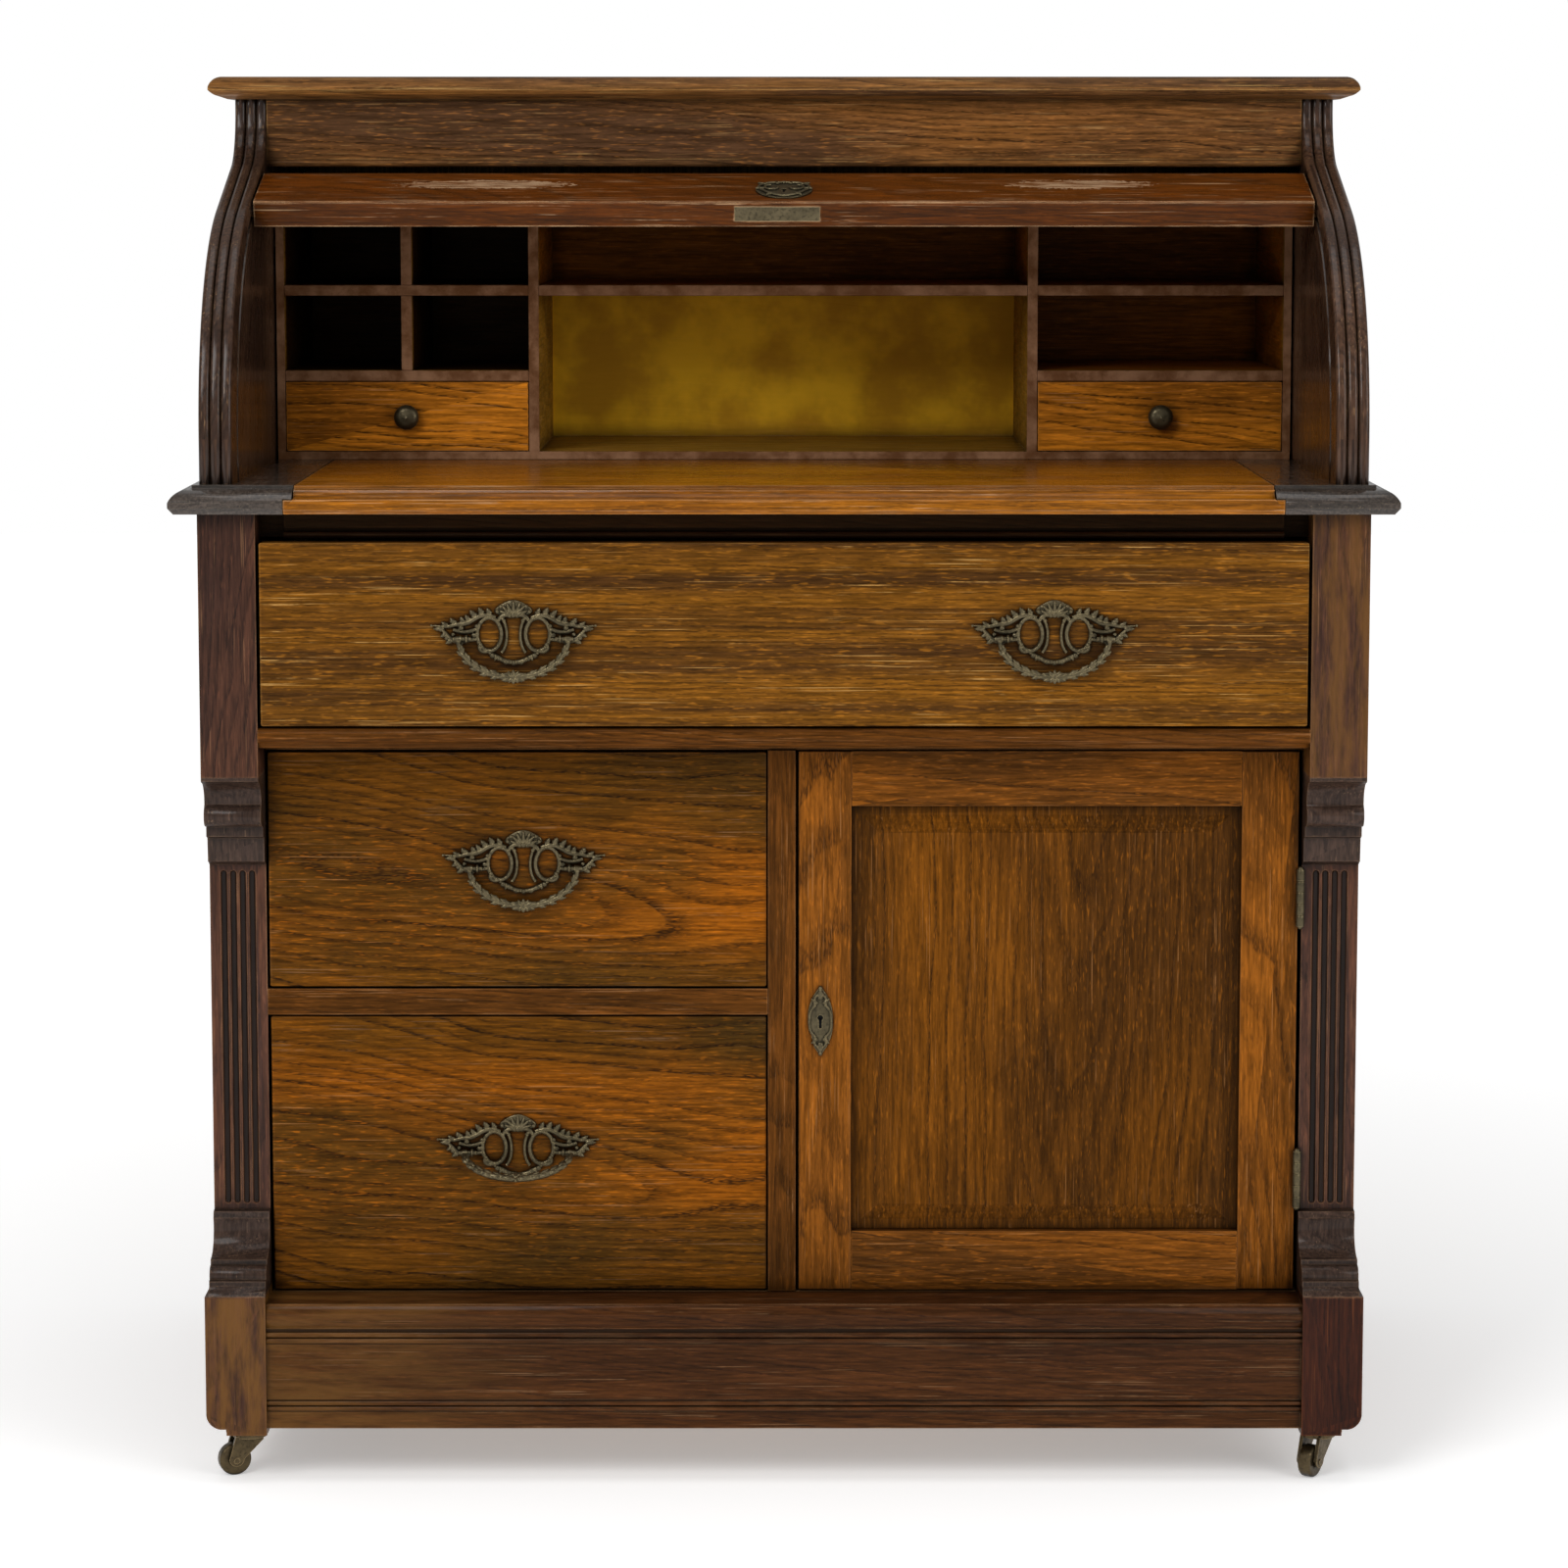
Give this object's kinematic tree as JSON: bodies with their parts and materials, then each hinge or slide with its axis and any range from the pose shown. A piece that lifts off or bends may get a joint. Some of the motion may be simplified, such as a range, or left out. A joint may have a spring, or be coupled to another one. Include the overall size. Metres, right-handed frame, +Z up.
{
  "type": "roll top desk",
  "caption": "Roll top desk on casters: coupled roll, writing slide, gallery with small drawers, three drawers with bail pulls and a cupboard door.",
  "frame": {"origin": "on the floor, under the middle of the desk's plan", "axes": "+X to the sitter's right, +Y to the back, +Z up; the front faces -Y"},
  "size_m": [0.954, 0.588, 1.12],
  "materials": {
    "post_walnut": "worn shellac",
    "walnut": "satin shellac",
    "figured_walnut": "satin shellac",
    "dark_ends": "dark gloss",
    "slide_wood": "satin shellac",
    "gallery_wood": "thin shellac",
    "secondary_wood": "bare",
    "aged_brass": "aged",
    "caster_brass": "worn"
  },
  "bodies": {
    "carcase": {"front_posts": "post_walnut", "post_mouldings": "post_walnut", "side_frames": "walnut", "side_panels": "walnut", "back_boards": "secondary_wood", "plinth": "walnut", "bottom_board": "secondary_wood", "front_rails": "walnut", "centre_partition": "post_walnut", "dust_boards": "secondary_wood", "cupboard_shelf": "secondary_wood", "hinge_leaves": "aged_brass", "writing_ends": "dark_ends", "writing_bed": "secondary_wood", "curved_side_right": "post_walnut", "curved_side_left": "post_walnut", "top_board": "walnut", "frieze": "walnut", "gallery_case": "gallery_wood", "gallery_shelves": "gallery_wood", "caster_plates": "caster_brass"},
    "writing_slide": {"writing_slide": "slide_wood"},
    "lead_rail": {"roll_lead_rail": "walnut", "roll_lock": "aged_brass"},
    "roll_slat_1": {"roll_slat_1": "walnut"},
    "roll_slat_2": {"roll_slat_2": "walnut"},
    "roll_slat_3": {"roll_slat_3": "walnut"},
    "roll_slat_4": {"roll_slat_4": "walnut"},
    "roll_slat_5": {"roll_slat_5": "walnut"},
    "roll_slat_6": {"roll_slat_6": "walnut"},
    "roll_slat_7": {"roll_slat_7": "walnut"},
    "roll_slat_8": {"roll_slat_8": "walnut"},
    "long_drawer": {"long_drawer_front": "walnut", "long_drawer_box": "secondary_wood", "long_drawer_plates": "aged_brass"},
    "long_drawer_bail_left": {"long_drawer_bail_left": "aged_brass"},
    "long_drawer_bail_right": {"long_drawer_bail_right": "aged_brass"},
    "upper_drawer": {"upper_drawer_front": "figured_walnut", "upper_drawer_box": "secondary_wood", "upper_drawer_plates": "aged_brass"},
    "upper_drawer_bail": {"upper_drawer_bail": "aged_brass"},
    "lower_drawer": {"lower_drawer_front": "figured_walnut", "lower_drawer_box": "secondary_wood", "lower_drawer_plates": "aged_brass"},
    "lower_drawer_bail": {"lower_drawer_bail": "aged_brass"},
    "gallery_drawer_left": {"gallery_drawer_left": "figured_walnut", "gallery_knob_left": "aged_brass"},
    "gallery_drawer_right": {"gallery_drawer_right": "figured_walnut", "gallery_knob_right": "aged_brass"},
    "door": {"door_frame": "walnut", "door_panel": "figured_walnut", "door_hardware": "aged_brass"},
    "caster_fork_front_left": {"caster_fork_front_left": "caster_brass"},
    "caster_wheel_front_left": {"caster_wheel_front_left": "caster_brass"},
    "caster_fork_front_right": {"caster_fork_front_right": "caster_brass"},
    "caster_wheel_front_right": {"caster_wheel_front_right": "caster_brass"},
    "caster_fork_rear_left": {"caster_fork_rear_left": "caster_brass"},
    "caster_wheel_rear_left": {"caster_wheel_rear_left": "caster_brass"},
    "caster_fork_rear_right": {"caster_fork_rear_right": "caster_brass"},
    "caster_wheel_rear_right": {"caster_wheel_rear_right": "caster_brass"}
  },
  "joints": [
    {"name": "writing_slide_pull", "type": "slide", "parent": "carcase", "child": "writing_slide", "axis": [0, -1, 0], "range_m": [0, 0.25]},
    {"name": "roll_close", "type": "hinge", "parent": "carcase", "child": "lead_rail", "pos_m": [0, -0.0371, 0.8293], "axis": [1, 0, 0], "range_deg": [0, 73.8]},
    {"name": "slat_1_travel", "type": "hinge", "parent": "carcase", "child": "roll_slat_1", "pos_m": [0, -0.02706, 0.81438], "axis": [1, 0, 0], "range_deg": [0, 67.88]},
    {"name": "slat_2_travel", "type": "hinge", "parent": "carcase", "child": "roll_slat_2", "pos_m": [0, -0.00941, 0.77881], "axis": [1, 0, 0], "range_deg": [0, 57.49]},
    {"name": "slat_3_travel", "type": "hinge", "parent": "carcase", "child": "roll_slat_3", "pos_m": [0, 0.00824, 0.72524], "axis": [1, 0, 0], "range_deg": [0, 47.09]},
    {"name": "slat_4_travel", "type": "hinge", "parent": "carcase", "child": "roll_slat_4", "pos_m": [0, 0.02589, 0.63932], "axis": [1, 0, 0], "range_deg": [0, 36.69]},
    {"name": "slat_5_travel", "type": "hinge", "parent": "carcase", "child": "roll_slat_5", "pos_m": [0, 0.04354, 0.48398], "axis": [1, 0, 0], "range_deg": [0, 26.29]},
    {"name": "slat_6_travel", "type": "hinge", "parent": "carcase", "child": "roll_slat_6", "pos_m": [0, 0.06119, 0.12503], "axis": [1, 0, 0], "range_deg": [0, 15.89]},
    {"name": "slat_7_travel", "type": "hinge", "parent": "carcase", "child": "roll_slat_7", "pos_m": [0, 0.07884, -1.5881], "axis": [1, 0, 0], "range_deg": [0, 5.49]},
    {"name": "slat_8_travel", "type": "slide", "parent": "carcase", "child": "roll_slat_8", "axis": [0, -1, 0], "range_m": [0, 0.25053]},
    {"name": "long_drawer_pull", "type": "slide", "parent": "carcase", "child": "long_drawer", "axis": [0, -1, 0], "range_m": [0, 0.4]},
    {"name": "long_drawer_bail_left_swing", "type": "hinge", "parent": "long_drawer", "child": "long_drawer_bail_left", "pos_m": [-0.211, -0.2785, 0.68], "axis": [-1, 0, 0], "range_deg": [0, 110]},
    {"name": "long_drawer_bail_right_swing", "type": "hinge", "parent": "long_drawer", "child": "long_drawer_bail_right", "pos_m": [0.211, -0.2785, 0.68], "axis": [-1, 0, 0], "range_deg": [0, 110]},
    {"name": "upper_drawer_pull", "type": "slide", "parent": "carcase", "child": "upper_drawer", "axis": [0, -1, 0], "range_m": [0, 0.36]},
    {"name": "upper_drawer_bail_swing", "type": "hinge", "parent": "upper_drawer", "child": "upper_drawer_bail", "pos_m": [-0.207, -0.2335, 0.492], "axis": [-1, 0, 0], "range_deg": [0, 110]},
    {"name": "lower_drawer_pull", "type": "slide", "parent": "carcase", "child": "lower_drawer", "axis": [0, -1, 0], "range_m": [0, 0.36]},
    {"name": "lower_drawer_bail_swing", "type": "hinge", "parent": "lower_drawer", "child": "lower_drawer_bail", "pos_m": [-0.213, -0.2335, 0.262], "axis": [-1, 0, 0], "range_deg": [-60, 50]},
    {"name": "gallery_drawer_left_pull", "type": "slide", "parent": "carcase", "child": "gallery_drawer_left", "axis": [0, -1, 0], "range_m": [0, 0.16]},
    {"name": "gallery_drawer_right_pull", "type": "slide", "parent": "carcase", "child": "gallery_drawer_right", "axis": [0, -1, 0], "range_m": [0, 0.16]},
    {"name": "door_swing", "type": "hinge", "parent": "carcase", "child": "door", "pos_m": [0.4105, -0.231, 0.366], "axis": [0, 0, 1], "range_deg": [0, 95]},
    {"name": "front_left_swivel", "type": "hinge", "parent": "carcase", "child": "caster_fork_front_left", "pos_m": [-0.43, -0.234, 0.034], "axis": [0, 0, 1], "continuous": true},
    {"name": "front_left_spin", "type": "hinge", "parent": "caster_fork_front_left", "child": "caster_wheel_front_left", "pos_m": [-0.44222, -0.23845, 0.013], "axis": [0.342, -0.9397, 0], "continuous": true},
    {"name": "front_right_swivel", "type": "hinge", "parent": "carcase", "child": "caster_fork_front_right", "pos_m": [0.43, -0.234, 0.034], "axis": [0, 0, 1], "continuous": true},
    {"name": "front_right_spin", "type": "hinge", "parent": "caster_fork_front_right", "child": "caster_wheel_front_right", "pos_m": [0.42273, -0.24478, 0.013], "axis": [0.829, -0.5592, 0], "continuous": true},
    {"name": "rear_left_swivel", "type": "hinge", "parent": "carcase", "child": "caster_fork_rear_left", "pos_m": [-0.43, 0.256, 0.034], "axis": [0, 0, 1], "continuous": true},
    {"name": "rear_left_spin", "type": "hinge", "parent": "caster_fork_rear_left", "child": "caster_wheel_rear_left", "pos_m": [-0.4361, 0.26748, 0.013], "axis": [-0.8829, -0.4695, 0], "continuous": true},
    {"name": "rear_right_swivel", "type": "hinge", "parent": "carcase", "child": "caster_fork_rear_right", "pos_m": [0.43, 0.256, 0.034], "axis": [0, 0, 1], "continuous": true},
    {"name": "rear_right_spin", "type": "hinge", "parent": "caster_fork_rear_right", "child": "caster_wheel_rear_right", "pos_m": [0.43487, 0.26805, 0.013], "axis": [-0.9272, 0.3746, 0], "continuous": true}
  ],
  "couplings": [
    {"joint": "slat_1_travel", "follows": "roll_close", "ratio": 0.91983},
    {"joint": "slat_2_travel", "follows": "roll_close", "ratio": 0.77893},
    {"joint": "slat_3_travel", "follows": "roll_close", "ratio": 0.63803},
    {"joint": "slat_4_travel", "follows": "roll_close", "ratio": 0.49712},
    {"joint": "slat_5_travel", "follows": "roll_close", "ratio": 0.35622},
    {"joint": "slat_6_travel", "follows": "roll_close", "ratio": 0.21532},
    {"joint": "slat_7_travel", "follows": "roll_close", "ratio": 0.074414},
    {"joint": "slat_8_travel", "follows": "roll_close", "m_per_rad": 0.1945}
  ]
}
